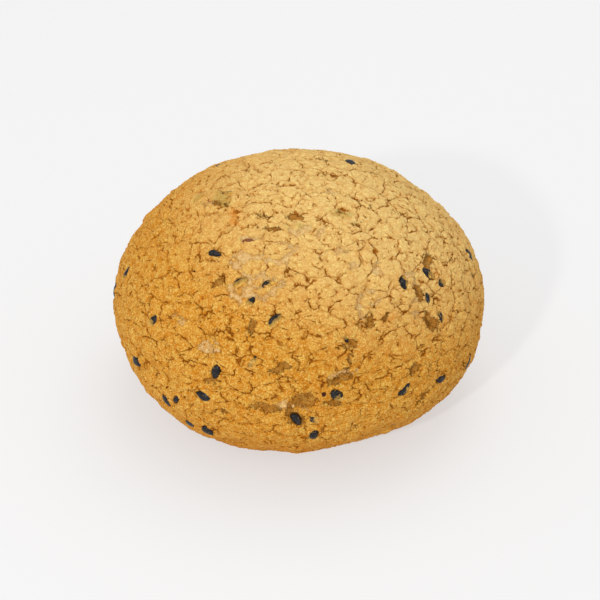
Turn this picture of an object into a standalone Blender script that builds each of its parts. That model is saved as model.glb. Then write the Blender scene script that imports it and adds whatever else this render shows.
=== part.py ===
"""A baked mochi bun with black sesame seeds, in metres, +Z up, standing on its flat foot.

The bun is round, with a fuller curve below its widest ring than above it, and is flat where it
stood on the tray. A few gentle swells and dips keep it from being perfectly round. Each seed is
a flattened teardrop lying in its own open pocket in the crust.

Places on the crust are a longitude and a latitude in degrees, seen from the middle of the
widest ring. Longitude 0 faces -Y and grows towards +X, and latitude 90 is the top.
"""

import math
import random

import bmesh
import bpy
from mathutils import Matrix, Vector

MM = 0.001

# Bun
WIDTH = 75 * MM
HEIGHT = 48 * MM
BELLY_HEIGHT = 0.42 * HEIGHT
TOP_REACH = HEIGHT - BELLY_HEIGHT
LOW_REACH = BELLY_HEIGHT / 0.84  # the low curve would close here if the foot weren't flat
TOP_POWER = 1.95  # 2 is an ellipse, and more is fuller
LOW_POWER = 2.5
BELLY_CENTRE = Vector((0, 0, BELLY_HEIGHT))
COLUMNS = 56
ROWS = 26

# Swells and dips: longitude, latitude, spread in degrees, height
SWELLS = (
    (22, -38, 22, -1.3 * MM),
    (-28, -38, 24, 0.6 * MM),
    (110, 35, 28, -0.6 * MM),
    (-75, 45, 25, -0.2 * MM),
    (-155, 20, 26, -0.4 * MM),
    (165, -32, 24, 0.5 * MM),
)

# Sesame seeds
SEED_LENGTH = 3.2 * MM
SEED_LENGTH_SPREAD = 0.2 * MM
SEED_WIDTH_SHARE = 0.64
SEED_THICKNESS_SHARE = 0.3
SEED_TAPER = 0.5  # how much of its width a seed loses towards its point
SEED_SUBDIVISIONS = 2
POCKET_GAP = 0.3 * MM

# Seeds on the front and sides: longitude, latitude, heading, roll, height above the crust.
# A heading of 0 points east along the crust, and 90 points to the top.
PLACED_SEEDS = (
    (-42, 41, 14, 50, 0.45 * MM),
    (-29, 50, 20, 75, 0.15 * MM),
    (-24, 35, 41, -10, 0.3 * MM),
    (-12, 36, 28, 0, 0.1 * MM),
    (-18, 29, 73, 0, 0.2 * MM),
    (-8, 25, 50, 0, 0.4 * MM),
    (-79, 15, 125, 20, 0.3 * MM),
    (-87, 4, 120, 15, 0.55 * MM),
    (-52, 13, 71, 15, 0.35 * MM),
    (-58, -4, -5, -20, 0.5 * MM),
    (-25, 7, -100, 0, 0.5 * MM),
    (-29, -2, 173, 20, 0.55 * MM),
    (-44, -11, -83, -15, 0.5 * MM),
    (-39, -8, 60, 40, 0.4 * MM),
    (-37, -18, 50, 0, 0.35 * MM),
    (-30, -18, -63, -20, 0.5 * MM),
    (-14, 12, 56, 0, 0.15 * MM),
    (-1, -6, -67, 20, 0.2 * MM),
    (5, -6, -4, 0, 0.05 * MM),
    (4, -13, 64, -10, 0.3 * MM),
    (11, 2, -48, 0, 0.35 * MM),
    (14, 20, -62, 0, 0.15 * MM),
    (42, 30, 54, -10, 0.45 * MM),
    (55, 28, -61, 0, 0.35 * MM),
    (59, 23, -20, 0, 0.15 * MM),
    (48, 22, -113, 65, 0.2 * MM),
    (50, 15, -76, 30, 0.2 * MM),
    (86, 18, -90, 20, 0.5 * MM),
    (78, 16, 65, 0, 0.1 * MM),
    (32, -1, 41, -15, 0.4 * MM),
    (47, -4, -10, -25, 0.45 * MM),
    (133, 61, 171, 20, 0.55 * MM),
    (115, 56, -129, 0, 0.15 * MM),
    (-132, 44, 140, 0, 0.35 * MM),
    (-79, 61, 56, 0, 0.1 * MM),
    (-86, 50, 108, 0, 0.1 * MM),
    (64, -8, 50, 0, 0.4 * MM),
)

# Seeds scattered over the back
BACK_SEEDS = 20
BACK_LONGITUDES = (100, 262)
BACK_LATITUDES = (-22, 66)
BACK_SPACING = 7 * MM
FRONT = (0, 33)  # the longitude and latitude that the scattered seeds face away from
FRONT_LIMIT = -0.12  # cosine of the nearest that they come to it
BACK_ROLLS = (0, 50)
BACK_HEIGHTS = (0.1 * MM, 0.5 * MM)
RANDOM_START = 11

# Finishes, as linear colours
CRUST_COLOUR = (0.64, 0.33, 0.07, 1)
CRUST_ROUGHNESS = 0.75
SESAME_COLOUR = (0.017, 0.019, 0.03, 1)
SESAME_ROUGHNESS = 0.4

SMOOTH_ANGLE = math.radians(40)
FRAME_STEP = 0.5  # degrees between the points that give the slope of the crust


def clear_scene():
    """Remove every object that the file starts with."""
    for old in list(bpy.data.objects):
        bpy.data.objects.remove(old, do_unlink=True)


def direction(longitude, latitude):
    """Return the unit vector that an angle pair names."""
    lon = math.radians(longitude)
    lat = math.radians(latitude)
    return Vector((math.sin(lon) * math.cos(lat), -math.cos(lon) * math.cos(lat), math.sin(lat)))


def crust_distance(toward):
    """Return how far the crust lies from the middle of the widest ring along a unit vector."""
    reach = TOP_REACH if toward.z > 0 else LOW_REACH
    power = TOP_POWER if toward.z > 0 else LOW_POWER
    level = math.hypot(toward.x, toward.y) / (WIDTH / 2)
    rise = abs(toward.z) / reach
    distance = (level ** power + rise ** power) ** (-1 / power)
    for longitude, latitude, spread, height in SWELLS:
        apart = math.degrees(toward.angle(direction(longitude, latitude)))
        distance += height * math.exp(-((apart / spread) ** 2))
    return distance


def crust_point(longitude, latitude):
    """Return the point of the crust at an angle pair."""
    toward = direction(longitude, latitude)
    return BELLY_CENTRE + toward * crust_distance(toward)


def crust_frame(longitude, latitude):
    """Return a matrix at a crust point, with X to the east, Y to the top and Z outwards."""
    east = crust_point(longitude + FRAME_STEP, latitude) - crust_point(longitude - FRAME_STEP, latitude)
    north = crust_point(longitude, latitude + FRAME_STEP) - crust_point(longitude, latitude - FRAME_STEP)
    east.normalize()
    outward = east.cross(north).normalized()
    frame = Matrix((east, outward.cross(east), outward)).transposed().to_4x4()
    frame.translation = crust_point(longitude, latitude)
    return frame


def make_material(name, colour, roughness):
    """Return a plain material of one colour and roughness."""
    material = bpy.data.materials.new(name)
    material.use_nodes = True
    shader = material.node_tree.nodes["Principled BSDF"]
    shader.inputs["Base Color"].default_value = colour
    shader.inputs["Roughness"].default_value = roughness
    shader.inputs["Metallic"].default_value = 0
    material.diffuse_color = colour
    return material


def make_object(name, bm, material, collection):
    """Turn a bmesh into a smoothly shaded object of a collection."""
    mesh = bpy.data.meshes.new(name)
    bm.to_mesh(mesh)
    bm.free()
    mesh.materials.append(material)
    mesh.shade_smooth()
    mesh.set_sharp_from_angle(angle=SMOOTH_ANGLE)
    piece = bpy.data.objects.new(name, mesh)
    collection.objects.link(piece)
    return piece


def bun_bmesh():
    """Return the solid bun without pockets, pressed flat where it stands."""
    bm = bmesh.new()
    bmesh.ops.create_uvsphere(bm, u_segments=COLUMNS, v_segments=ROWS, radius=1)
    for vertex in bm.verts:
        toward = vertex.co.normalized()
        vertex.co = BELLY_CENTRE + toward * crust_distance(toward)
        vertex.co.z = max(vertex.co.z, 0)
    foot = [face for face in bm.faces if all(vertex.co.z == 0 for vertex in face.verts)]
    bmesh.ops.dissolve_faces(bm, faces=foot, use_verts=True)
    return bm


def seed_bmesh(length, growth):
    """Return a seed that points along +X, grown outwards by a distance."""
    bm = bmesh.new()
    bmesh.ops.create_icosphere(bm, subdivisions=SEED_SUBDIVISIONS, radius=1)
    half = Vector((1, SEED_WIDTH_SHARE, SEED_THICKNESS_SHARE)) * length / 2
    for vertex in bm.verts:
        narrowed = 1 - SEED_TAPER * ((1 + vertex.co.x) / 2) ** 2
        vertex.co = vertex.co * half * Vector((1, narrowed, narrowed))
    bm.normal_update()
    for vertex in bm.verts:
        vertex.co += vertex.normal * growth
    return bm


def seed_placing(bm, longitude, latitude, heading, roll, height):
    """Return the matrix that seats a seed with its highest point at a height above the crust."""
    turn = Matrix.Rotation(math.radians(heading), 4, "Z") @ Matrix.Rotation(math.radians(roll), 4, "X")
    top = max((turn @ vertex.co).z for vertex in bm.verts)
    lift = Matrix.Translation((0, 0, height - top))
    return crust_frame(longitude, latitude) @ lift @ turn


def back_seeds(rng):
    """Return places for the seeds on the back, each well away from every other seed."""
    taken = [crust_point(place[0], place[1]) for place in PLACED_SEEDS]
    front = direction(*FRONT)
    places = []
    while len(places) < BACK_SEEDS:
        longitude = rng.uniform(*BACK_LONGITUDES)
        latitude = rng.uniform(*BACK_LATITUDES)
        point = crust_point(longitude, latitude)
        if direction(longitude, latitude).dot(front) > FRONT_LIMIT:
            continue
        if min((point - other).length for other in taken) < BACK_SPACING:
            continue
        taken.append(point)
        places.append(
            (longitude, latitude, rng.uniform(0, 360), rng.uniform(*BACK_ROLLS), rng.uniform(*BACK_HEIGHTS))
        )
    return places


def add_seed(number, place, length, material, cutters):
    """Add one seed, and the cutter of its pocket."""
    bm = seed_bmesh(length, 0)
    placing = seed_placing(bm, *place)
    seed = make_object(f"sesame_seed_{number:02d}", bm, material, bpy.context.scene.collection)
    seed.matrix_world = placing
    cutter = make_object(f"pocket_cutter_{number:02d}", seed_bmesh(length, POCKET_GAP), material, cutters)
    cutter.matrix_world = placing
    cutter.hide_render = True
    cutter.display_type = "WIRE"


def add_seeds(cutters):
    """Add every seed of the front, the sides and the back."""
    rng = random.Random(RANDOM_START)
    material = make_material("black_sesame", SESAME_COLOUR, SESAME_ROUGHNESS)
    for number, place in enumerate(PLACED_SEEDS + tuple(back_seeds(rng)), start=1):
        length = SEED_LENGTH + rng.uniform(-SEED_LENGTH_SPREAD, SEED_LENGTH_SPREAD)
        add_seed(number, place, length, material, cutters)


def add_bun(cutters):
    """Add the bun and cut the seeds' pockets into it."""
    material = make_material("baked_crust", CRUST_COLOUR, CRUST_ROUGHNESS)
    bun = make_object("bun", bun_bmesh(), material, bpy.context.scene.collection)
    pockets = bun.modifiers.new("Seed pockets", "BOOLEAN")
    pockets.operation = "DIFFERENCE"
    pockets.solver = "EXACT"
    pockets.operand_type = "COLLECTION"
    pockets.collection = cutters


def main():
    """Build the bun with its seeds."""
    clear_scene()
    cutters = bpy.data.collections.new("pocket_cutters")
    bpy.context.scene.collection.children.link(cutters)
    add_seeds(cutters)
    add_bun(cutters)


main()
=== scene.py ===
"""Looks of a baked mochi bun: a cracked golden crust with black sesame seeds baked into it.

The bun's form repeats the frame's own: a fuller curve below the widest ring than above it, and a
flat foot. Places on the crust are a longitude and a latitude in degrees, seen from the middle of
the widest ring. Longitude 0 faces -Y and grows towards +X, and latitude 90 is the top. Work on
the crust is in millimetres, and meshes are turned to metres when they are filled.
"""

import math

import bmesh
import bpy
import numpy as np
from mathutils import Matrix, Vector, noise


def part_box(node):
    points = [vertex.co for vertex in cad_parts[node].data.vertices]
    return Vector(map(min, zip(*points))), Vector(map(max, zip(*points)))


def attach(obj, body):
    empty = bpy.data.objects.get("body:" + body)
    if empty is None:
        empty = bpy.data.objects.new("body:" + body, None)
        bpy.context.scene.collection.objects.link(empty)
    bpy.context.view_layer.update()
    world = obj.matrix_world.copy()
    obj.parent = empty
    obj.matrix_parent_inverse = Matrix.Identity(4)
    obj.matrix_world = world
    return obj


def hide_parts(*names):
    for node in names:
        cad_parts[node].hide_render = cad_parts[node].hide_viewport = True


bl_info = {
    "name": "Baked Mochi Bun",
    "version": (1, 0, 0),
    "blender": (4, 5, 0),
    "location": "3D View > Sidebar > Mochi Bun",
    "description": "Builds a cracked golden bun with black sesame seeds round its packed frame",
    "category": "Object",
}

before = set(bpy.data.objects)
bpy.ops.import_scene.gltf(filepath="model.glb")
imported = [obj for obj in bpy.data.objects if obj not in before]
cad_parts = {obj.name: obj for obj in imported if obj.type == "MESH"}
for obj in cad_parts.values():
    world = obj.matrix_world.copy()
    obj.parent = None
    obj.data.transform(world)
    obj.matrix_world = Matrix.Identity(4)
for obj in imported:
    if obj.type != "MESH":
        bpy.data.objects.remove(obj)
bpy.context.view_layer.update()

MM = 0.001
BUN_NODE = "bun"
SEED_NODES = sorted(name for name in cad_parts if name.startswith("sesame_seed_"))

# The bun's form, in millimetres
BUN_LOW, BUN_HIGH = (np.array(corner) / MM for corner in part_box(BUN_NODE))
WIDTH = float((BUN_HIGH - BUN_LOW)[:2].max())
HEIGHT = float(BUN_HIGH[2] - BUN_LOW[2])
BELLY_SHARE = 0.42  # where the widest ring lies in the height
LOW_SHARE = 0.84  # how much of the low curve stands above the flat foot
BELLY_HEIGHT = BELLY_SHARE * HEIGHT
TOP_REACH = HEIGHT - BELLY_HEIGHT
LOW_REACH = BELLY_HEIGHT / LOW_SHARE
TOP_POWER = 1.95  # 2 is an ellipse, and more is fuller
LOW_POWER = 2.5
BELLY_CENTRE = np.array((0, 0, BELLY_HEIGHT))
FOOT_SOFTNESS = 1.0  # how gently the sides turn into the foot
FOOT_SINK = FOOT_SOFTNESS / 20
FOOT_TOP = 4 * FOOT_SOFTNESS  # the softening ends at this height
STILL_HEIGHT = 2  # the relief fades away below this height
FRAME_STEP = 0.5  # degrees between the points that give the slope of the crust

# Swells and dips: longitude, latitude, spread in degrees, height
SWELLS = (
    (22, -38, 22, -1.3),
    (-28, -38, 24, 0.6),
    (110, 35, 28, -0.6),
    (-75, 45, 25, -0.2),
    (-155, 20, 26, -0.4),
    (165, -32, 24, 0.5),
)

# Spots on the crust: longitude, latitude, heading, half length, half width.
# A heading of 0 points east along the crust, and 90 points to the top.

# Open holes
CAVITIES = (
    (-5, 64, 0, 1.5, 1.1),
    (-10, -2, -5, 2.5, 1.0),
    (1, 1, 0, 2.4, 1.5),
    (-3, -4, 80, 1.3, 0.6),
    (12, 7, 10, 2.3, 0.9),
    (10, 0, 0, 1.3, 0.8),
    (-1, -5, -67, 2.0, 1.2),
    (15, 17, 15, 1.8, 0.8),
    (15, 13, 85, 1.2, 0.4),
    (24, 22, 60, 1.4, 0.9),
    (28, 21, 45, 1.6, 0.3),
    (35, 4, 30, 1.5, 0.9),
    (40, -8, 25, 2.4, 0.5),
    (-16, 22, 80, 1.4, 0.6),
    (-32, 34, 60, 1.4, 0.7),
    (-6, 11, 25, 1.6, 0.6),
    (-26, 4, 10, 1.6, 0.4),
    (-23, -6, -20, 0.9, 0.5),
    (39, 55, 0, 0.7, 0.7),
    (61, 58, 10, 1.0, 0.3),
    (36, 63, -30, 0.9, 0.4),
    (58, 31, 20, 2.0, 1.1),
    (46, 25, 80, 1.7, 0.9),
    (46, 15, -70, 2.4, 1.1),
    (-79, 60, 20, 0.9, 0.5),
    (-72, 56, 40, 0.7, 0.4),
    (-67, 58, 0, 0.6, 0.4),
    (-20, 57, 5, 1.6, 0.3),
    (-27, 62, 10, 1.3, 0.3),
    (170, 40, 20, 2.2, 1.0),
    (-150, 10, -30, 1.8, 0.9),
    (130, -4, 10, 2.3, 1.0),
    (-115, 28, 60, 1.6, 0.7),
    (195, -8, 0, 2.0, 0.8),
    (150, 68, 30, 1.4, 0.8),
)
# Places where the crust is torn and pale dough shows
DOUGH_PATCHES = (
    (-18, 34, 20, 6.0, 3.6),
    (-26, 43, 30, 4.0, 2.2),
    (-6, 46, 10, 4.5, 1.8),
    (-10, 50, 5, 3.5, 1.4),
    (26, 29, 15, 3.4, 1.6),
    (24, 41, 95, 3.6, 1.2),
    (22, 26, 70, 2.0, 1.0),
    (-28, 14, 20, 3.0, 1.4),
    (3, 57, 0, 4.4, 1.4),
    (-31, 50, 30, 3.0, 1.0),
    (44, 26, 70, 5.0, 2.0),
    (37, 37, 10, 2.4, 1.4),
    (17, 46, 0, 3.0, 1.2),
    (12, 8, 10, 3.0, 1.2),
    (-2, 0, 10, 3.4, 1.6),
    (160, 15, 40, 4.4, 2.0),
    (-170, 52, 10, 4.8, 2.0),
    (-120, 12, 80, 4.0, 1.8),
    (115, 20, 30, 4.2, 1.8),
    (-140, 34, 0, 4.0, 1.8),
)
# Browner places
TOASTED_SPOTS = (
    (-53, 58, 0, 2.6, 1.5),
    (-48, 55, 0, 2.2, 1.4),
    (6, 7, 0, 1.2, 0.9),
    (-12, -4, 0, 2.6, 0.7),
    (8, -2, 0, 2.0, 0.7),
    (57, 28, -60, 2.0, 0.9),
    (33, 45, 30, 2.4, 0.6),
    (-36, 26, 40, 3.0, 0.6),
    (30, 21, 20, 1.6, 0.7),
    (46, -15, 0, 2.4, 0.8),
    (-105, 40, 0, 3.0, 1.0),
    (150, 20, 0, 3.0, 1.2),
    (-150, -5, 0, 3.0, 0.9),
    (120, 45, 0, 2.6, 0.8),
)
# Places with an olive tint
OLIVE_SPOTS = (
    (-74, 58, 0, 3.2, 1.8),
    (-88, 49, 0, 1.6, 1.2),
    (36, 62, -30, 2.4, 1.2),
    (0, 59, 0, 2.6, 0.8),
    (-160, 30, 0, 2.4, 1.4),
)
# Dark crumbs
DARK_SPECKS = (
    (7, 3, 80, 0.6, 0.45),
    (-38, 10, 0, 0.2, 0.2),
    (-13, -19, 0, 0.25, 0.2),
    (-46, 33, 0, 0.3, 0.3),
    (63, 0, 0, 0.35, 0.3),
    (108, 41, 0, 0.3, 0.2),
    (-101, -6, 0, 0.3, 0.25),
    (140, 8, 0, 0.3, 0.3),
    (180, 22, 0, 0.3, 0.2),
)

SPOTS = {
    "cavity": CAVITIES, "dough": DOUGH_PATCHES, "toast": TOASTED_SPOTS, "olive": OLIVE_SPOTS,
    "speck": DARK_SPECKS,
}

# Skin of crust over some seeds, by seed number: the heading of its middle from the seed's own
# middle, how far from that middle its edge lies, and how ragged the edge is
SKINS = {
    3: (-50, -0.5, 0.3),
    4: (-30, -0.5, 1.5),
    5: (-95, -0.5, 0.3),
    6: (-45, -0.35, 0.4),
    7: (-60, 0.1, 0.4),
    9: (-110, -0.3, 0.5),
    17: (-60, -0.6, 1.0),
    19: (0, -0.4, 1.4),
    20: (-110, -0.1, 1.6),
    21: (-20, 0.2, 1.8),
    22: (118, -0.9, 0.4),
    23: (-20, 0.3, 1.2),
    24: (-40, -0.1, 1.8),
    25: (0, -0.8, 0.8),
    26: (-90, 0.3, 1.5),
    27: (-30, 0.1, 1.7),
    29: (60, -0.5, 1.2),
    30: (-45, 0.2, 1.2),
    33: (0, -0.5, 1.2),
    35: (0, -0.6, 1.2),
    36: (30, -0.9, 0.6),
    40: (20, 0, 0.5),
    43: (200, -0.3, 0.5),
    46: (90, -0.5, 1.2),
    49: (-70, 0, 0.4),
    52: (140, -0.4, 0.6),
    55: (-20, -0.5, 1.2),
}
REDDISH_SEEDS = (2,)  # numbers of the seeds with a reddish coat

SPOT_REACH = 3  # a spot is worked out this many half lengths away, and a margin more
SPOT_MARGIN = 2
FAR_OUTSIDE = -5.0  # millimetres outside every spot
MAP_FILL = 0.98  # share of its square that each side of the map fills

# The crust's pattern, in millimetres
FLATTENING = 1.8  # how much wider than high the plates are
PLATE_SIZE = 5.2
FLAKE_SIZE = 2.4
CHIP_SIZE = 1.2

# As a noise goes from the first number to the second, a gap goes from the third to the fourth.
# A gap below 0 is closed.
PLATE_CRACKS = (0.38, 0.64, -0.08, 0.14)
FLAKE_CRACKS = (0.47, 0.7, -0.1, 0.09)
CHIP_CRACKS = (0.52, 0.72, -0.1, 0.05)
PITS = (0.7, 0.82, -0.3, 0.2)
TORN_PLACES = (0.62, 0.8, -1.0, 0.5)

CRACK_RAGGEDNESS = 0.2
TEAR_RAGGEDNESS = 2.2
HOLLOW_RAGGEDNESS = 2.4
TEAR_LIMIT = 0.55  # keeps plates standing in the middle of a torn place
PLATE_GRIP = 0.95  # how much the middle of a plate holds against a tear

# Steps that keep the noises from repeating one another
FLAKE_STEP = (9, 4, 2)
PLATE_BREAK_STEP = (31, 7, 13)
FLAKE_BREAK_STEP = (5, 47, 29)
CHIP_BREAK_STEP = (17, 3, 90)
PIT_STEP = (3, 3, 70)
TORN_STEP = (83, 11, 61)
LOBE_STEP = (60, 8, 5)

# The relief, in millimetres
SWELL_HEIGHT = 0.4
WAVE_HEIGHT = 0.24
GRAIN_HEIGHT = 0.11
CRUMB_HEIGHT = 0.06
PLATE_HEIGHT = 0.24
FLAKE_HEIGHT = 0.14
CRACK_DEPTH = 0.36
CRACK_SHOULDER = 0.08
BARE_DEPTH = 0.4
HOLLOW_EDGE_DEPTH = 0.5
HOLLOW_MIDDLE_DEPTH = 0.7  # added to the edge depth in the middle
WORN_SHARE = 0.35  # share of the fine relief that is left in bare and hollow places

# Seeds
LENS_POWER = 0.85  # below 1 a seed is fuller than an ellipse
GROOVE_RING = 0.72  # where the groove inside a seed's rim lies
GROOVE_WIDTH = 0.12
GROOVE_DEPTH = 0.12
FILM_EDGE = 0.15  # millimetres in which the film reaches its thickness
SEAT_REACH = 1.2  # millimetres past a seed's tip in which the crust is changed
POCKET_WALL = 0.25  # millimetres in which a pocket's wall goes down
LIP_PLACE = 0.3  # millimetres from the pocket to the top of its lip
LIP_WIDTH = 0.45
LIP_START = -0.5  # millimetres outside a seed at which a lip may begin
JOIN_WIDTH = 0.5  # millimetres in which a pocket turns into film
JOIN_START = 0.4  # how far it has turned into film at the film's edge
GAP_UNEVENNESS = 1.2
FILM_SHALLOWNESS = 0.7  # how much less deep a pocket is under the film

# The stage, in metres
FLOOR_REACH = 3  # half its width
KEY_SIZE = 0.04
KEY_PLACE = (-0.25, -0.56, 0.35)
OVERHEAD_SIZE = 0.5
OVERHEAD_PLACE = (0.1, 0.25, 0.6)
NEAREST_SHOWN = 0.01
SENSOR_WIDTH = 36  # millimetres


def sRGB(red, green, blue):
    """Return the linear colour of an sRGB colour from 0 to 255."""
    def linear(value):
        share = value / 255
        return share / 12.92 if share <= 0.04045 else ((share + 0.055) / 1.055) ** 2.4
    return (linear(red), linear(green), linear(blue), 1)


# Colours of the crust
GOLD = sRGB(206, 130, 20)
SANDY_GOLD = sRGB(222, 172, 72)
LIGHT_GRAIN = sRGB(246, 216, 130)
DARK_GRAIN = sRGB(180, 104, 10)
DEEP_GOLD = sRGB(208, 130, 22)
# Paler top: partly the crust's own colour, partly painted light on the top and the right side
PALE_TOP_AND_PAINTED_LIGHT = sRGB(248, 222, 148)
# Browner low sides: partly browning, partly painted shade
LOW_BROWN_AND_SHADE = sRGB(188, 112, 20)
TOAST = sRGB(216, 126, 26)
OLIVE = sRGB(176, 152, 76)
# Painted shade in the gaps between crumbs
CRUMB_GAP_SHADE = sRGB(194, 118, 20)
CRACK_EDGE = sRGB(200, 122, 18)
CRACK_AMBER = sRGB(186, 108, 12)
# Painted shade: the brown of the deeper cracks
CRACK_SHADE_BROWN = sRGB(130, 70, 4)
DOUGH = sRGB(202, 150, 80)
PALE_DOUGH = sRGB(228, 192, 132)
DOUGH_GRAIN = sRGB(246, 226, 178)
DOUGH_RIM = sRGB(186, 112, 26)
# Painted shade at a hollow's wall
HOLLOW_RIM_SHADE = sRGB(126, 72, 8)
HOLLOW_AMBER = sRGB(178, 120, 42)
# Painted shade in a hollow's deep middle
HOLLOW_DEEP_SHADE = sRGB(140, 90, 22)
HOLLOW_PALE = sRGB(196, 148, 70)
HOLLOW_GRAIN = sRGB(214, 164, 84)
# Painted shade in the gap round a seed
POCKET_SHADE_BROWN = sRGB(106, 54, 8)
SPECK_BROWN = sRGB(64, 34, 22)
FOOT_BROWN = sRGB(176, 96, 18)
FOOT_GOLD = sRGB(206, 136, 44)

# Colours of the seeds
COAT_BLACK = sRGB(9, 9, 11)
COAT_GREY = sRGB(34, 35, 41)
COAT_DUST = sRGB(196, 146, 60)
COAT_RED = sRGB(132, 74, 42)
DARK_FILM = sRGB(104, 80, 34)
AMBER_FILM = sRGB(164, 126, 50)


# Form

def direction(longitude, latitude):
    """Return the unit vector that an angle pair names."""
    lon = math.radians(longitude)
    lat = math.radians(latitude)
    return np.array((math.sin(lon) * math.cos(lat), -math.cos(lon) * math.cos(lat), math.sin(lat)))


def crust_distance(toward):
    """Return how far the crust lies from the belly's centre along each of some unit vectors."""
    upper = toward[:, 2] > 0
    power = np.where(upper, TOP_POWER, LOW_POWER)
    level = np.hypot(toward[:, 0], toward[:, 1]) / (WIDTH / 2)
    rise = np.abs(toward[:, 2]) / np.where(upper, TOP_REACH, LOW_REACH)
    distance = (level ** power + rise ** power) ** (-1 / power)
    for longitude, latitude, spread, height in SWELLS:
        near = np.clip(toward @ direction(longitude, latitude), -1, 1)
        distance += height * np.exp(-((np.degrees(np.arccos(near)) / spread) ** 2))
    return distance


def crust_points(toward):
    """Return the points of the smooth crust along some unit vectors, pressed flat at the foot."""
    points = BELLY_CENTRE + toward * crust_distance(toward)[:, None]
    height = points[:, 2]
    softened = (height + np.sqrt(height ** 2 + FOOT_SOFTNESS ** 2)) / 2
    pressed = np.maximum(softened - FOOT_SINK, 0)
    points[:, 2] = np.where(height < FOOT_TOP, pressed, height)
    return points


def crust_point(longitude, latitude):
    """Return the point of the smooth crust at an angle pair."""
    return crust_points(direction(longitude, latitude)[None])[0]


def crust_axes(longitude, latitude):
    """Return the unit vectors east and north along the crust at an angle pair."""
    east = crust_point(longitude + FRAME_STEP, latitude) - crust_point(longitude - FRAME_STEP, latitude)
    north = crust_point(longitude, latitude + FRAME_STEP) - crust_point(longitude, latitude - FRAME_STEP)
    east /= np.linalg.norm(east)
    north -= east * (north @ east)
    return east, north / np.linalg.norm(north)


def spot_field(rest, spots):
    """Return how deep each point lies inside the nearest oval spot, negative outside it."""
    field = np.full(len(rest), FAR_OUTSIDE)
    for longitude, latitude, heading, half_length, half_width in spots:
        centre = crust_point(longitude, latitude)
        east, north = crust_axes(longitude, latitude)
        turn = math.radians(heading)
        along = east * math.cos(turn) + north * math.sin(turn)
        across = north * math.cos(turn) - east * math.sin(turn)
        apart = rest - centre
        near = np.linalg.norm(apart, axis=1) < half_length * SPOT_REACH + SPOT_MARGIN
        oval = np.hypot(apart[near] @ along / half_length, apart[near] @ across / half_width)
        field[near] = np.maximum(field[near], (1 - oval) * half_width)
    return field


# Node building

class Wiring:
    """Adds nodes to a material or a geometry tree and joins them up."""

    def __init__(self, tree):
        self.tree = tree

    def add(self, kind, **settings):
        """Return a new node with its settings made."""
        node = self.tree.nodes.new(kind)
        for name, value in settings.items():
            setattr(node, name, value)
        return node

    def put(self, socket, value):
        """Join an output to a socket, or write a value into it."""
        if isinstance(value, bpy.types.NodeSocket):
            self.tree.links.new(value, socket)
        else:
            socket.default_value = value

    def math(self, operation, first, second):
        """Return the result of a sum on numbers."""
        node = self.add("ShaderNodeMath", operation=operation)
        self.put(node.inputs[0], first)
        self.put(node.inputs[1], second)
        return node.outputs[0]

    def vector(self, operation, first, second):
        """Return the result of a sum on vectors."""
        node = self.add("ShaderNodeVectorMath", operation=operation)
        self.put(node.inputs[0], first)
        if operation == "SCALE":
            self.put(node.inputs["Scale"], second)
        else:
            self.put(node.inputs[1], second)
        return node.outputs[0]

    def noise(self, place, scale, detail=2.0, roughness=0.5, output=0):
        """Return soft noise round 0.5, with output 0 for a number and 1 for a colour."""
        node = self.add("ShaderNodeTexNoise")
        self.put(node.inputs["Vector"], place)
        self.put(node.inputs["Scale"], scale)
        self.put(node.inputs["Detail"], detail)
        self.put(node.inputs["Roughness"], roughness)
        return node.outputs[output]

    def cells(self, place, size):
        """Return the distance to the edge between cells of a size, and a number of each cell's own."""
        edge = self.add("ShaderNodeTexVoronoi", feature="DISTANCE_TO_EDGE")
        tint = self.add("ShaderNodeTexVoronoi", feature="F1")
        for node in (edge, tint):
            self.put(node.inputs["Vector"], place)
            self.put(node.inputs["Scale"], 1 / size)
        split = self.add("ShaderNodeSeparateXYZ")
        self.put(split.inputs[0], tint.outputs["Color"])
        return self.math("MULTIPLY", edge.outputs["Distance"], size), split.outputs[0]

    def ramp(self, value, low, high, to_low=0.0, to_high=1.0, kind="SMOOTHSTEP"):
        """Return a number that goes between two others as a value goes from low to high."""
        node = self.add("ShaderNodeMapRange", interpolation_type=kind)
        for socket, number in zip(node.inputs, (value, low, high, to_low, to_high)):
            self.put(socket, number)
        return node.outputs[0]

    def mix(self, factor, first, second):
        """Return a mix of two colours."""
        node = self.add("ShaderNodeMix", data_type="RGBA")
        self.put(node.inputs["Factor"], factor)
        self.put(node.inputs[6], first)
        self.put(node.inputs[7], second)
        return node.outputs[2]

    def wander(self, place, scale, reach, detail=2.0):
        """Return places moved about by up to half of a reach."""
        drift = self.vector("SUBTRACT", self.noise(place, scale, detail, output=1), (0.5, 0.5, 0.5))
        return self.vector("ADD", place, self.vector("SCALE", drift, reach))

    def uneven(self, place, scale, detail=2.0, roughness=0.5):
        """Return soft noise round 0."""
        return self.math("SUBTRACT", self.noise(place, scale, detail, roughness), 0.5)

    def opening(self, value, limits):
        """Return how far a noise opens something, between four limits."""
        return self.ramp(value, *limits, "LINEAR")

    def wave(self, value, height):
        """Return a noise as a rise and fall of a height."""
        return self.ramp(value, 0.2, 0.8, -height, height, "LINEAR")

    def attribute(self, name, output="Fac"):
        """Return a number or a vector that the mesh stores, for a material."""
        return self.add("ShaderNodeAttribute", attribute_name=name).outputs[output]


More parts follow.
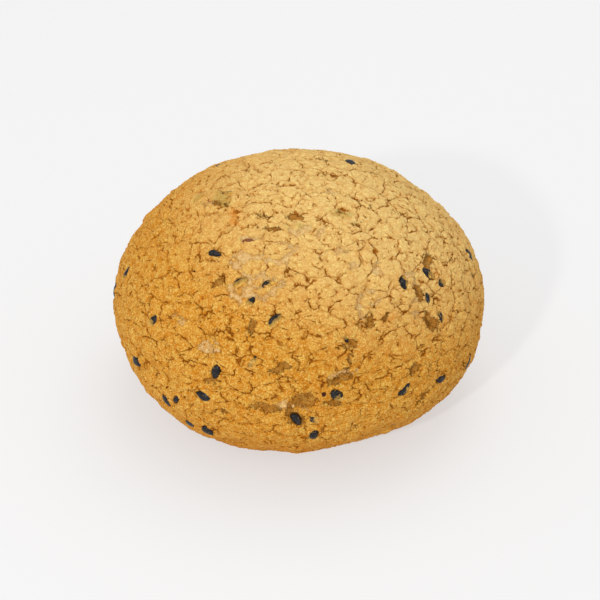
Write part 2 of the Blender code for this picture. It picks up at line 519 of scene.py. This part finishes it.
def crust_pattern(w, rest, cavity, dough):
    """Wire up the crust's plates, cracks, pits, bare dough and cavities, in millimetres.

    Each opening is a number that is positive inside it and grows towards its middle, so the
    same nodes cut it into the mesh and colour it.
    """
    squashed = w.vector("MULTIPLY", rest, (1, 1, FLATTENING))
    bent = w.wander(squashed, 0.3, 3.0)
    strayed = w.wander(w.wander(bent, 0.8, 0.8), 3.2, 0.55, 3.0)
    jagged = w.wander(w.wander(w.vector("ADD", bent, FLAKE_STEP), 1.0, 0.6), 4.0, 0.4, 3.0)
    plate_edge, plate_tint = w.cells(strayed, PLATE_SIZE)
    flake_edge, flake_tint = w.cells(jagged, FLAKE_SIZE)
    chip_edge, _ = w.cells(w.wander(squashed, 3.0, 0.45, 3.0), CHIP_SIZE)
    plate_break = w.noise(w.vector("ADD", rest, PLATE_BREAK_STEP), 0.5)
    flake_break = w.noise(w.vector("ADD", rest, FLAKE_BREAK_STEP), 0.7)
    chip_break = w.noise(w.vector("ADD", rest, CHIP_BREAK_STEP), 0.8)
    plate_gap = w.math("SUBTRACT", w.opening(plate_break, PLATE_CRACKS), plate_edge)
    flake_gap = w.math("SUBTRACT", w.opening(flake_break, FLAKE_CRACKS), flake_edge)
    chip_gap = w.math("SUBTRACT", w.opening(chip_break, CHIP_CRACKS), chip_edge)
    pit = w.opening(w.noise(w.vector("ADD", rest, PIT_STEP), 1.0, 2.0, 0.6), PITS)
    crack = w.math("MAXIMUM", w.math("MAXIMUM", plate_gap, flake_gap), w.math("MAXIMUM", chip_gap, pit))
    frayed = w.uneven(rest, 1.3, 4.0, 0.8)
    crack = w.math("ADD", crack, w.math("MULTIPLY", frayed, CRACK_RAGGEDNESS))

    lobed = w.math("ADD", frayed, w.uneven(w.vector("ADD", rest, LOBE_STEP), 0.6))
    torn = w.opening(w.noise(w.vector("ADD", rest, TORN_STEP), 0.12, 1.0), TORN_PLACES)
    tear = w.math("MINIMUM", w.math("MAXIMUM", dough, torn), TEAR_LIMIT)
    tear = w.math("SUBTRACT", tear, w.math("MULTIPLY", plate_edge, PLATE_GRIP))
    bare = w.math("ADD", tear, w.math("MULTIPLY", lobed, TEAR_RAGGEDNESS))
    hollow = w.math("ADD", cavity, w.math("MULTIPLY", lobed, HOLLOW_RAGGEDNESS))
    opened = w.ramp(w.math("MAXIMUM", bare, hollow), 0.0, 0.25, 0.0, 0.3)
    lumps = w.add("ShaderNodeTexVoronoi", feature="SMOOTH_F1")
    w.put(lumps.inputs["Vector"], w.wander(rest, 1.4, 0.9))
    w.put(lumps.inputs["Scale"], 0.95)
    w.put(lumps.inputs["Smoothness"], 0.4)
    return {
        "plate_edge": plate_edge, "plate_tint": plate_tint,
        "flake_edge": flake_edge, "flake_tint": flake_tint,
        "crack": w.math("SUBTRACT", crack, opened), "bare": bare, "hollow": hollow,
        "lumps": w.ramp(lumps.outputs["Distance"], 0.15, 0.75, 1.0, 0.0, "LINEAR"),
    }


def relief_height(w, rest, pattern):
    """Wire up the height of the crust's relief, in millimetres."""
    crack, bare, hollow = pattern["crack"], pattern["bare"], pattern["hollow"]
    swell = w.wave(w.noise(rest, 0.11, 1.0), SWELL_HEIGHT)
    waves = w.wave(w.noise(rest, 0.34, 3.0), WAVE_HEIGHT)
    grain = w.wave(w.noise(rest, 2.2, 2.0, 0.7), GRAIN_HEIGHT)
    crumbs = w.math("MULTIPLY", pattern["lumps"], CRUMB_HEIGHT)
    plate_height = w.ramp(pattern["plate_tint"], 0, 1, 0, PLATE_HEIGHT)
    plates = w.math("MULTIPLY", w.ramp(pattern["plate_edge"], 0, 0.5), plate_height)
    flake_height = w.ramp(pattern["flake_tint"], 0, 1, 0, FLAKE_HEIGHT)
    flakes = w.math("MULTIPLY", w.ramp(pattern["flake_edge"], 0, 0.3), flake_height)
    crack_wall = w.ramp(crack, -0.1, 0.1, 0, CRACK_DEPTH)
    crack_depth = w.math("ADD", crack_wall, w.ramp(crack, -0.5, -0.1, 0, CRACK_SHOULDER))
    bare_depth = w.ramp(bare, -0.12, 0.3, 0, BARE_DEPTH)
    hollow_wall = w.ramp(hollow, -0.1, 0.12, 0, HOLLOW_EDGE_DEPTH)
    hollow_depth = w.math("ADD", hollow_wall, w.ramp(hollow, 0.05, 1.0, 0, HOLLOW_MIDDLE_DEPTH))
    depth = w.math("MAXIMUM", w.math("MAXIMUM", crack_depth, bare_depth), hollow_depth)
    worn = w.ramp(w.math("MAXIMUM", bare, hollow), 0, 0.3, 1, WORN_SHARE)
    rough = w.math("ADD", w.math("ADD", plates, flakes), w.math("ADD", grain, crumbs))
    raised = w.math("ADD", w.math("ADD", swell, waves), w.math("MULTIPLY", rough, worn))
    return w.math("SUBTRACT", raised, depth)


def relief_tree():
    """Return a geometry tree that stores the height of the crust's relief at every point."""
    tree = bpy.data.node_groups.new("crust_relief", "GeometryNodeTree")
    tree.interface.new_socket("Geometry", in_out="INPUT", socket_type="NodeSocketGeometry")
    tree.interface.new_socket("Geometry", in_out="OUTPUT", socket_type="NodeSocketGeometry")
    w = Wiring(tree)
    named = {}
    for name, kind in (("rest", "FLOAT_VECTOR"), ("cavity", "FLOAT"), ("dough", "FLOAT")):
        reader = w.add("GeometryNodeInputNamedAttribute", data_type=kind)
        reader.inputs["Name"].default_value = name
        named[name] = reader.outputs["Attribute"]
    pattern = crust_pattern(w, named["rest"], named["cavity"], named["dough"])
    store = w.add("GeometryNodeStoreNamedAttribute", data_type="FLOAT", domain="POINT")
    store.inputs["Name"].default_value = "relief"
    w.put(store.inputs["Value"], relief_height(w, named["rest"], pattern))
    w.put(store.inputs["Geometry"], w.add("NodeGroupInput").outputs[0])
    w.put(w.add("NodeGroupOutput").inputs[0], store.outputs[0])
    return tree


# Mesh helpers

def new_object(name, mesh):
    """Link a new object with a mesh."""
    piece = bpy.data.objects.new(name, mesh)
    bpy.context.scene.collection.objects.link(piece)
    return piece


def write_numbers(mesh, name, values, kind="FLOAT"):
    """Store one number or vector for every vertex."""
    layer = mesh.attributes.new(name, kind, "POINT")
    part = "vector" if kind == "FLOAT_VECTOR" else "value"
    layer.data.foreach_set(part, np.asarray(values, np.float32).ravel())


def read_numbers(mesh, name):
    """Return a stored number of every vertex."""
    values = np.empty(len(mesh.vertices), np.float32)
    mesh.attributes[name].data.foreach_get("value", values)
    return values


def vertex_places(mesh):
    """Return the places of a mesh's vertices."""
    places = np.empty(len(mesh.vertices) * 3, np.float32)
    mesh.vertices.foreach_get("co", places)
    return places.reshape(-1, 3).astype(float)


def vertex_normals(mesh):
    """Return the normals at a mesh's vertices."""
    normals = np.empty(len(mesh.vertices) * 3, np.float32)
    mesh.vertex_normals.foreach_get("vector", normals)
    return normals.reshape(-1, 3).astype(float)


# Seeds

def seed_frame(node_name):
    """Return a frame seed's middle, its axes along, across and outwards, and its half sizes."""
    points = np.array([vertex.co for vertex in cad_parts[node_name].data.vertices]) / MM
    middle = points.mean(axis=0)
    axes = np.linalg.eigh(np.cov((points - middle).T))[1].T[::-1].copy()
    if axes[2] @ (middle - BELLY_CENTRE) < 0:
        axes[2] *= -1
    along, across = (points - middle) @ axes[0], np.abs((points - middle) @ axes[1])
    if across[along > 0].mean() > across[along < 0].mean():
        axes[0] *= -1
    axes[1] = np.cross(axes[2], axes[0])
    local = (points - middle) @ axes.T
    low, high = local.min(axis=0), local.max(axis=0)
    return middle + ((low + high) / 2) @ axes, axes, (high - low) / 2


def toward_heading(middle, heading):
    """Return the unit vector along the crust under a middle, at a heading from east."""
    outward = (middle - BELLY_CENTRE) / np.linalg.norm(middle - BELLY_CENTRE)
    east = np.cross((0, 0, 1), outward)
    east /= np.linalg.norm(east)
    turn = math.radians(heading)
    return east * math.cos(turn) + np.cross(outward, east) * math.sin(turn)


def film_depth(number, places, middle):
    """Return how far inside the film of crust over a seed each place lies, in millimetres."""
    if number not in SKINS:
        return np.full(len(places), FAR_OUTSIDE)
    heading, edge, raggedness = SKINS[number]
    ragged = np.array([
        noise.noise(Vector(place) * 1.2) + 0.6 * noise.noise(Vector(place) * 3.1) for place in places
    ])
    return (places - middle) @ toward_heading(middle, heading) - edge + raggedness * ragged


def seed_mesh(number, name, node_name, settings):
    """Return a fine teardrop seed with a faint rim, a wrinkled coat and its film of crust."""
    middle, axes, half = seed_frame(node_name)
    bm = bmesh.new()
    bmesh.ops.create_icosphere(bm, subdivisions=settings.fineness, radius=1)
    for vertex in bm.verts:
        along, across, out = vertex.co
        narrowed = 1 - settings.taper * ((1 + along) / 2) ** 2
        past_ring = (math.hypot(along, across) - GROOVE_RING) / GROOVE_WIDTH
        groove = GROOVE_DEPTH * math.exp(-past_ring ** 2)
        lens = math.copysign(abs(out) ** LENS_POWER, out) * (1 - groove)
        vertex.co = Vector((along, across * narrowed, lens * narrowed))
    low = [min(vertex.co[axis] for vertex in bm.verts) for axis in range(3)]
    high = [max(vertex.co[axis] for vertex in bm.verts) for axis in range(3)]
    for vertex in bm.verts:
        for axis in range(3):
            span = high[axis] - low[axis]
            vertex.co[axis] = (2 * (vertex.co[axis] - low[axis]) / span - 1) * half[axis]
    bm.normal_update()
    shift = Vector(middle)
    for vertex in bm.verts:
        wrinkle = noise.noise(vertex.co * 2.2 + shift) * 0.6 + noise.noise(vertex.co * 6 + shift) * 0.3
        vertex.co += vertex.normal * wrinkle * settings.wrinkle / MM
    placing = Matrix(axes.T.tolist()).to_4x4()
    placing.translation = shift
    bmesh.ops.transform(bm, matrix=placing, verts=bm.verts)
    bm.normal_update()
    film = film_depth(number, np.array([vertex.co for vertex in bm.verts]), middle)
    for vertex, depth in zip(bm.verts, film):
        thickness = min(max(depth / FILM_EDGE, 0), 1) * (1 + noise.noise(vertex.co * 4))
        vertex.co += vertex.normal * thickness * settings.film / MM
    bmesh.ops.transform(bm, matrix=Matrix.Scale(MM, 4), verts=bm.verts)
    mesh = bpy.data.meshes.new(name)
    bm.to_mesh(mesh)
    bm.free()
    write_numbers(mesh, "film", film)
    write_numbers(mesh, "reddish", np.full(len(film), number in REDDISH_SEEDS))
    mesh.shade_smooth()
    return mesh


# Materials

def gold_tone(w, place):
    """Wire up the sandy gold of the crust, and return it with its soft and its fine noise."""
    tone = w.noise(place, 0.8, 4.0, 0.65)
    grain = w.noise(place, 3.2, 2.0, 0.8)
    gold = w.mix(w.ramp(tone, 0.32, 0.68), GOLD, SANDY_GOLD)
    gold = w.mix(w.ramp(grain, 0.5, 0.62, 0, 0.56), gold, LIGHT_GRAIN)
    return w.mix(w.ramp(grain, 0.49, 0.38, 0, 0.55), gold, DARK_GRAIN), tone, grain


def new_material(name):
    """Return a new material, its wiring and its shader."""
    material = bpy.data.materials.new(name)
    material.use_nodes = True
    return material, Wiring(material.node_tree), material.node_tree.nodes["Principled BSDF"]


def add_bump(w, shader, height, strength, distance):
    """Bump a shader by a height, up to a distance in millimetres."""
    bump = w.add("ShaderNodeBump")
    bump.inputs["Strength"].default_value = strength
    bump.inputs["Distance"].default_value = distance * MM
    w.put(bump.inputs["Height"], height)
    w.put(shader.inputs["Normal"], bump.outputs[0])


def sesame_material():
    """Return the near-black coat of a black sesame seed, and the amber film of crust over it."""
    material, w, shader = new_material("black_sesame_coat")
    place = w.vector("SCALE", w.add("ShaderNodeTexCoord").outputs["Object"], 1 / MM)
    coat = w.mix(w.ramp(w.noise(place, 1.6, 3.0, 0.6), 0.35, 0.7), COAT_BLACK, COAT_GREY)
    dust = w.ramp(w.noise(place, 2.6, 3.0, 0.7), 0.64, 0.7)
    coat = w.mix(w.math("MULTIPLY", dust, 0.7), coat, COAT_DUST)
    coat = w.mix(w.math("MULTIPLY", w.attribute("reddish"), 0.85), coat, COAT_RED)
    frayed = w.math("MULTIPLY", w.uneven(place, 4.0, 3.0, 0.6), 0.4)
    film = w.math("ADD", w.attribute("film"), frayed)
    gold, _, grain = gold_tone(w, place)
    film_tone = w.mix(w.ramp(film, 0.1, 1.3, 0.0, 0.85), w.mix(grain, DARK_FILM, AMBER_FILM), gold)
    covered = w.ramp(film, -0.04, 0.06)
    w.put(shader.inputs["Base Color"], w.mix(covered, coat, film_tone))
    gloss = w.ramp(w.noise(place, 2.4), 0.3, 0.7, 0.3, 0.5)
    w.put(shader.inputs["Roughness"], w.math("MAXIMUM", gloss, w.math("MULTIPLY", covered, 0.62)))
    shader.inputs["Specular IOR Level"].default_value = 0.25
    add_bump(w, shader, w.noise(place, 5.0, 3.0, 0.6), 0.6, 0.04)
    return material


def browned_and_painted_light_colour(w, colour, read, x_for_painted_light, level, raggedness):
    """Wire up the paler top and right side, partly the crust's own colour and partly painted light, the
    browner low sides, partly browning and partly painted shade, and the toasted and olive places.
    """
    # Painted light over the crust's own paler top: the colour pales towards the top and towards the right
    # side
    top_and_painted_light = w.math("ADD", level, w.math("MULTIPLY", x_for_painted_light, 0.3))
    colour = w.mix(w.ramp(top_and_painted_light, 28, 50, 0, 0.62), colour, PALE_TOP_AND_PAINTED_LIGHT)
    # Darker and browner towards the bottom: partly browning, partly painted shade
    colour = w.mix(w.ramp(level, 15, 2, 0, 0.5), colour, LOW_BROWN_AND_SHADE)
    toast = w.math("ADD", read["toast"], raggedness)
    colour = w.mix(w.ramp(toast, -0.6, 2.0, 0, 0.7), colour, TOAST)
    olive = w.math("ADD", read["olive"], w.math("MULTIPLY", raggedness, 0.4))
    return w.mix(w.ramp(olive, -0.4, 0.8, 0, 0.65), colour, OLIVE)


def opened_colour(w, colour, rest, pattern, tone, grain):
    """Wire up the colours of the crumbs' gaps, the cracks, the bare dough and the hollows, with painted
    shade in the crumbs' gaps, the deeper cracks and the hollows' walls and middles.
    """
    crack, bare, hollow = pattern["crack"], pattern["bare"], pattern["hollow"]
    # Painted shade: the low gaps between the crumbs are darkened to amber
    colour = w.mix(w.ramp(pattern["lumps"], 0.4, 0.0, 0, 0.2), colour, CRUMB_GAP_SHADE)
    colour = w.mix(w.ramp(crack, -0.26, -0.01, 0, 0.5), colour, CRACK_EDGE)
    dough = w.mix(w.ramp(w.noise(rest, 1.1, 3.0), 0.35, 0.65), DOUGH, PALE_DOUGH)
    dough = w.mix(w.ramp(grain, 0.5, 0.62, 0, 0.5), dough, DOUGH_GRAIN)
    colour = w.mix(w.ramp(bare, -0.12, 0.24, 0, 0.7), colour, dough)
    rim = w.math("MULTIPLY", w.ramp(bare, -0.25, -0.05), w.ramp(bare, 0.15, 0.0, 0, 0.15))
    colour = w.mix(rim, colour, DOUGH_RIM)
    # The cracks' own amber darkens to brown as a crack widens: painted shade in the deeper cracks
    crack_tone_and_shade = w.mix(w.ramp(crack, 0.0, 0.14), CRACK_AMBER, CRACK_SHADE_BROWN)
    colour = w.mix(w.ramp(crack, -0.04, 0.04, 0, 0.95), colour, crack_tone_and_shade)
    # Painted shade over the hollow's own amber and pale lumps: a dark band inside its edge and a darker
    # deep middle
    hollow_tone_and_shade = w.mix(w.ramp(hollow, 0.02, 0.25), HOLLOW_RIM_SHADE, HOLLOW_AMBER)
    hollow_tone_and_shade = w.mix(w.ramp(hollow, 0.5, 1.0), hollow_tone_and_shade, HOLLOW_DEEP_SHADE)
    hollow_tone_and_shade = w.mix(w.ramp(tone, 0.52, 0.6, 0, 0.5), hollow_tone_and_shade, HOLLOW_PALE)
    hollow_tone_and_shade = w.mix(w.ramp(grain, 0.52, 0.62, 0, 0.3), hollow_tone_and_shade, HOLLOW_GRAIN)
    return w.mix(w.ramp(hollow, -0.02, 0.03, 0, 0.95), colour, hollow_tone_and_shade)


def crust_material():
    """Return the sandy, cracked golden crust, with bare dough, cavities and browned places, and with
    painted light and shade in its colour.
    """
    material, w, shader = new_material("cracked_golden_crust")
    rest = w.attribute("rest", "Vector")
    read = {name: w.attribute(name) for name in ("cavity", "dough", "toast", "olive", "speck", "pocket")}
    pattern = crust_pattern(w, rest, read["cavity"], read["dough"])
    crack, bare, hollow = pattern["crack"], pattern["bare"], pattern["hollow"]
    split = w.add("ShaderNodeSeparateXYZ")
    w.put(split.inputs[0], rest)
    x_for_painted_light, level = split.outputs["X"], split.outputs["Z"]
    raggedness = w.math("MULTIPLY", w.uneven(rest, 0.6, 3.0), 5.0)

    colour, tone, grain = gold_tone(w, rest)
    colour = w.mix(w.ramp(w.noise(rest, 0.16, 3.0, 0.6), 0.38, 0.6, 0.15, 0), colour, DEEP_GOLD)
    colour = browned_and_painted_light_colour(w, colour, read, x_for_painted_light, level, raggedness)
    colour = opened_colour(w, colour, rest, pattern, tone, grain)
    # Painted shade: the gap round each seed is darkened to brown
    colour = w.mix(w.math("MULTIPLY", read["pocket"], 0.85), colour, POCKET_SHADE_BROWN)
    speck = w.math("ADD", read["speck"], w.math("MULTIPLY", w.math("SUBTRACT", grain, 0.5), 0.3))
    colour = w.mix(w.ramp(speck, -0.05, 0.1), colour, SPECK_BROWN)
    near_foot = w.ramp(w.math("ADD", level, w.math("MULTIPLY", raggedness, 0.5)), 2.4, 0.4, 0, 0.75)
    colour = w.mix(near_foot, colour, w.mix(w.ramp(tone, 0.35, 0.65), FOOT_BROWN, FOOT_GOLD))
    w.put(shader.inputs["Base Color"], colour)

    rough = w.ramp(grain, 0.3, 0.7, 0.75, 0.92)
    w.put(shader.inputs["Roughness"], w.math("SUBTRACT", rough, w.ramp(bare, 0, 0.3, 0, 0.25)))
    shader.inputs["Specular IOR Level"].default_value = 0.12
    fine = w.math("ADD", grain, w.ramp(crack, -0.08, 0.1, 0, -0.7))
    rims = w.math("ADD", w.ramp(hollow, -0.03, 0.1, 0, -0.7), w.ramp(bare, -0.06, 0.2, 0, -0.3))
    add_bump(w, shader, w.math("ADD", fine, rims), 1.0, 0.28)
    return material


# Crust

def sphere_grid(cuts):
    """Return an evenly divided cube, which is blown up into the bun."""
    bm = bmesh.new()
    bmesh.ops.create_cube(bm, size=2)
    bmesh.ops.subdivide_edges(bm, edges=bm.edges[:], cuts=cuts, use_grid_fill=True)
    mesh = bpy.data.meshes.new("crust_grid")
    bm.to_mesh(mesh)
    bm.free()
    return mesh


def lay_out_map(mesh, cube):
    """Give the mesh a map of six squares, one for each side of the cube that it was made from."""
    corners = np.empty(len(mesh.loops), np.int32)
    mesh.loops.foreach_get("vertex_index", corners)
    at = cube[corners].reshape(-1, 4, 3)
    middle = at.mean(axis=1)
    axis = np.abs(middle).argmax(axis=1)
    side = axis * 2 + (middle[np.arange(len(axis)), axis] > 0)
    flat = np.empty((len(at), 4, 2))
    for number in range(3):
        rows = axis == number
        flat[rows] = np.delete(at[rows], number, axis=2)
    unit = (flat * MAP_FILL + 1) / 2
    unit[..., 0] = (unit[..., 0] + (side % 3)[:, None]) / 3
    unit[..., 1] = (unit[..., 1] + (side // 3)[:, None]) / 2
    layer = mesh.uv_layers.new(name="OFBake")
    layer.uv.foreach_set("vector", unit.astype(np.float32).ravel())


def relief_of(piece):
    """Return the crust's relief at every vertex, worked out by the geometry nodes."""
    modifier = piece.modifiers.new("Crust relief", "NODES")
    modifier.node_group = relief_tree()
    evaluated = piece.evaluated_get(bpy.context.evaluated_depsgraph_get())
    relief = read_numbers(evaluated.to_mesh(), "relief")
    evaluated.to_mesh_clear()
    piece.modifiers.remove(modifier)
    return relief


def seat_seed(number, node_name, rest, relief, pocket, settings):
    """Sink the crust into a pocket round a seed, but join it to the film over the covered side."""
    middle, axes, half = seed_frame(node_name)
    near = np.flatnonzero(np.linalg.norm(rest - middle, axis=1) < half[0] + SEAT_REACH)
    local = (rest[near] - middle) @ axes.T
    oval = np.linalg.norm(local / half, axis=1)
    slope = np.linalg.norm(local / half ** 2, axis=1)
    outside = oval * (oval - 1) / np.maximum(slope, 1e-6)
    joined = np.clip(film_depth(number, rest[near], middle) / JOIN_WIDTH + JOIN_START, 0, 1)
    uneven = np.array([noise.noise(Vector(rest[i]) * 0.9) for i in near])
    gap = settings.pocket_gap / MM * (1 + GAP_UNEVENNESS * uneven) * (1 - joined)
    inside = np.clip((gap - outside) / POCKET_WALL, 0, 1)
    inside = inside * inside * (3 - 2 * inside)
    floor = -settings.pocket_depth / MM * (1 - FILM_SHALLOWNESS * joined)
    past_lip = (outside - gap - LIP_PLACE) / LIP_WIDTH
    lip = settings.lip_height / MM * np.exp(-past_lip ** 2) * (outside > LIP_START)
    relief[near] += lip + inside * (floor - relief[near])
    pocket[near] = np.maximum(pocket[near], inside * (1 - joined))


# Stage

def add_lamp(name, size, power, location):
    """Add a round lamp that shines at the middle of the bun."""
    lamp = bpy.data.lights.new(name, "AREA")
    lamp.shape = "DISK"
    lamp.size = size
    lamp.energy = power
    holder = bpy.data.objects.new(name, lamp)
    holder.location = location
    aim = Vector((0, 0, HEIGHT * MM / 2)) - holder.location
    holder.rotation_euler = aim.to_track_quat("-Z", "Y").to_euler()
    bpy.context.scene.collection.objects.link(holder)


# Settings

class MochiCrustSettings(bpy.types.PropertyGroup):
    """Sizes of the crust."""

    cuts: bpy.props.IntProperty(
        name="Cuts", description="Cuts along each side of the ball's grid", default=239
    )
    triangles: bpy.props.IntProperty(
        name="Triangles", description="Triangles left after the plain places are thinned", default=196000
    )
    pocket_gap: bpy.props.FloatProperty(
        name="Pocket gap", description="Open gap round a seed", default=0.14 * MM,
        subtype="DISTANCE", unit="LENGTH",
    )
    pocket_depth: bpy.props.FloatProperty(
        name="Pocket depth", description="Depth of the gap round a seed", default=0.9 * MM,
        subtype="DISTANCE", unit="LENGTH",
    )
    lip_height: bpy.props.FloatProperty(
        name="Lip height", description="Rise of the crust beside a seed", default=0.12 * MM,
        subtype="DISTANCE", unit="LENGTH",
    )


class MochiSeedSettings(bpy.types.PropertyGroup):
    """Sizes of the sesame seeds."""

    fineness: bpy.props.IntProperty(name="Fineness", description="Subdivisions of a seed's ball", default=4)
    taper: bpy.props.FloatProperty(
        name="Taper", description="Share of its width that a seed loses towards its point", default=0.55,
        subtype="FACTOR",
    )
    wrinkle: bpy.props.FloatProperty(
        name="Wrinkle", description="Height of the wrinkles in a seed's coat", default=0.05 * MM,
        subtype="DISTANCE", unit="LENGTH",
    )
    film: bpy.props.FloatProperty(
        name="Film", description="Thickness of the crust's film over a seed", default=0.05 * MM,
        subtype="DISTANCE", unit="LENGTH",
    )


class MochiStageSettings(bpy.types.PropertyGroup):
    """The camera, the lights and the floor."""

    elevation: bpy.props.FloatProperty(
        name="Elevation", description="Height of the camera as an angle", default=math.radians(33),
        subtype="ANGLE", unit="ROTATION",
    )
    distance: bpy.props.FloatProperty(
        name="Distance", description="Distance of the camera", default=339.8 * MM,
        subtype="DISTANCE", unit="LENGTH",
    )
    aim: bpy.props.FloatVectorProperty(
        name="Aim", description="Point at the middle of the view", default=(0.0001, -0.0023, 0.0205),
        subtype="XYZ", unit="LENGTH",
    )
    lens: bpy.props.FloatProperty(name="Lens", description="Focal length in millimetres", default=100)
    floor_colour: bpy.props.FloatVectorProperty(
        name="Floor colour", description="Colour of the floor", default=(0.34, 0.34, 0.34), subtype="COLOR"
    )
    floor_glow: bpy.props.FloatProperty(
        name="Floor glow", description="Light that the floor gives out", default=0.52
    )
    sky_strength: bpy.props.FloatProperty(
        name="Sky", description="Strength of the even light", default=0.79
    )
    key_power: bpy.props.FloatProperty(
        name="Key", description="Power of the lamp at the front left", default=1.85, unit="POWER"
    )
    overhead_power: bpy.props.FloatProperty(
        name="Overhead", description="Power of the broad lamp above and behind", default=1.0, unit="POWER"
    )


# Operators

class MOCHI_OT_sesame_seeds(bpy.types.Operator):
    """Model every sesame seed where the frame holds one"""

    bl_idname = "mochi.sesame_seeds"
    bl_label = "Sesame Seeds"

    def execute(self, context):
        settings = context.scene.mochi_seeds
        if not SEED_NODES:
            raise RuntimeError("the frame holds no sesame seeds")
        coat = sesame_material()
        for number, node_name in enumerate(SEED_NODES, start=1):
            name = node_name.replace("sesame_seed_", "black_sesame_")
            mesh = seed_mesh(number, name, node_name, settings)
            mesh.materials.append(coat)
            seed = new_object(name, mesh)
            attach(seed, "root")
            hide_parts(node_name)
        return {"FINISHED"}


class MOCHI_OT_crust(bpy.types.Operator):
    """Model the cracked crust round the seeds"""

    bl_idname = "mochi.crust"
    bl_label = "Crust"

    def execute(self, context):
        settings = context.scene.mochi_crust
        mesh = sphere_grid(settings.cuts)
        cube = vertex_places(mesh)
        lay_out_map(mesh, cube)
        ball = np.tan(cube * math.pi / 4)
        ball /= np.linalg.norm(ball, axis=1)[:, None]
        rest = crust_points(ball)
        mesh.vertices.foreach_set("co", (rest * MM).astype(np.float32).ravel())
        mesh.update()
        normals = vertex_normals(mesh)
        write_numbers(mesh, "rest", rest, "FLOAT_VECTOR")
        for name, spots in SPOTS.items():
            write_numbers(mesh, name, spot_field(rest, spots))
        grid = new_object("crust_grid", mesh)
        relief = relief_of(grid).astype(float)
        pocket = np.zeros(len(rest))
        for number, node_name in enumerate(SEED_NODES, start=1):
            seat_seed(number, node_name, rest, relief, pocket, settings)
        relief *= np.clip(rest[:, 2] / STILL_HEIGHT, 0, 1)
        places = rest + normals * relief[:, None]
        places[:, 2] = np.maximum(places[:, 2], 0)
        mesh.vertices.foreach_set("co", (places * MM).astype(np.float32).ravel())
        write_numbers(mesh, "pocket", pocket)
        mesh.update()
        thinned = grid.modifiers.new("Thin plain places", "DECIMATE")
        thinned.ratio = settings.triangles / (2 * len(mesh.polygons))
        evaluated = grid.evaluated_get(bpy.context.evaluated_depsgraph_get())
        mesh = bpy.data.meshes.new_from_object(evaluated)
        bpy.data.objects.remove(grid)
        mesh.name = "baked_crust"
        mesh.shade_smooth()
        mesh.materials.append(crust_material())
        crust = new_object("baked_crust", mesh)
        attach(crust, "root")
        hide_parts(BUN_NODE)
        return {"FINISHED"}


class MOCHI_OT_stage(bpy.types.Operator):
    """Set up the floor, the soft light and the camera"""

    bl_idname = "mochi.stage"
    bl_label = "Stage"

    def execute(self, context):
        scene = context.scene
        settings = scene.mochi_stage
        bm = bmesh.new()
        bmesh.ops.create_grid(bm, x_segments=1, y_segments=1, size=FLOOR_REACH)
        mesh = bpy.data.meshes.new("floor")
        bm.to_mesh(mesh)
        bm.free()
        floor = new_object("floor", mesh)
        material, _, shader = new_material("pale_floor")
        shader.inputs["Base Color"].default_value = (*settings.floor_colour, 1)
        shader.inputs["Roughness"].default_value = 0.9
        shader.inputs["Specular IOR Level"].default_value = 0.1
        shader.inputs["Emission Color"].default_value = (1, 1, 1, 1)
        shader.inputs["Emission Strength"].default_value = settings.floor_glow
        mesh.materials.append(material)

        world = bpy.data.worlds.new("even_light")
        world.use_nodes = True
        background = world.node_tree.nodes["Background"]
        background.inputs["Color"].default_value = (1, 1, 1, 1)
        background.inputs["Strength"].default_value = settings.sky_strength
        scene.world = world
        scene.view_settings.view_transform = "Standard"

        add_lamp("key", KEY_SIZE, settings.key_power, KEY_PLACE)
        add_lamp("overhead", OVERHEAD_SIZE, settings.overhead_power, OVERHEAD_PLACE)

        camera_data = bpy.data.cameras.new("camera")
        camera_data.lens = settings.lens
        camera_data.sensor_width = SENSOR_WIDTH
        camera_data.clip_start = NEAREST_SHOWN
        camera = bpy.data.objects.new("camera", camera_data)
        aim = Vector(settings.aim)
        back = Vector((0, -math.cos(settings.elevation), math.sin(settings.elevation)))
        camera.location = aim + back * settings.distance
        camera.rotation_euler = (-back).to_track_quat("-Z", "Y").to_euler()
        scene.collection.objects.link(camera)
        scene.camera = camera
        return {"FINISHED"}


class MOCHI_PT_sidebar(bpy.types.Panel):
    """Lists the steps that build the bun"""

    bl_idname = "MOCHI_PT_sidebar"
    bl_label = "Mochi Bun"
    bl_space_type = "VIEW_3D"
    bl_region_type = "UI"
    bl_category = "Mochi Bun"

    def draw(self, context):
        for operator in (MOCHI_OT_sesame_seeds, MOCHI_OT_crust, MOCHI_OT_stage):
            self.layout.operator(operator.bl_idname)
        for name in ("mochi_seeds", "mochi_crust", "mochi_stage"):
            settings = getattr(context.scene, name)
            box = self.layout.box()
            for key in settings.__annotations__:
                box.prop(settings, key)


CLASSES = (
    MochiCrustSettings, MochiSeedSettings, MochiStageSettings,
    MOCHI_OT_sesame_seeds, MOCHI_OT_crust, MOCHI_OT_stage, MOCHI_PT_sidebar,
)


def register():
    """Register the classes and their settings."""
    for kind in CLASSES:
        bpy.utils.register_class(kind)
    bpy.types.Scene.mochi_crust = bpy.props.PointerProperty(type=MochiCrustSettings)
    bpy.types.Scene.mochi_seeds = bpy.props.PointerProperty(type=MochiSeedSettings)
    bpy.types.Scene.mochi_stage = bpy.props.PointerProperty(type=MochiStageSettings)


def unregister():
    """Take the settings and the classes away again."""
    for name in ("mochi_stage", "mochi_seeds", "mochi_crust"):
        delattr(bpy.types.Scene, name)
    for kind in reversed(CLASSES):
        bpy.utils.unregister_class(kind)


def main():
    """Build every piece."""
    register()
    bpy.ops.mochi.sesame_seeds()
    bpy.ops.mochi.crust()
    bpy.ops.mochi.stage()


if __name__ == "__main__":
    main()
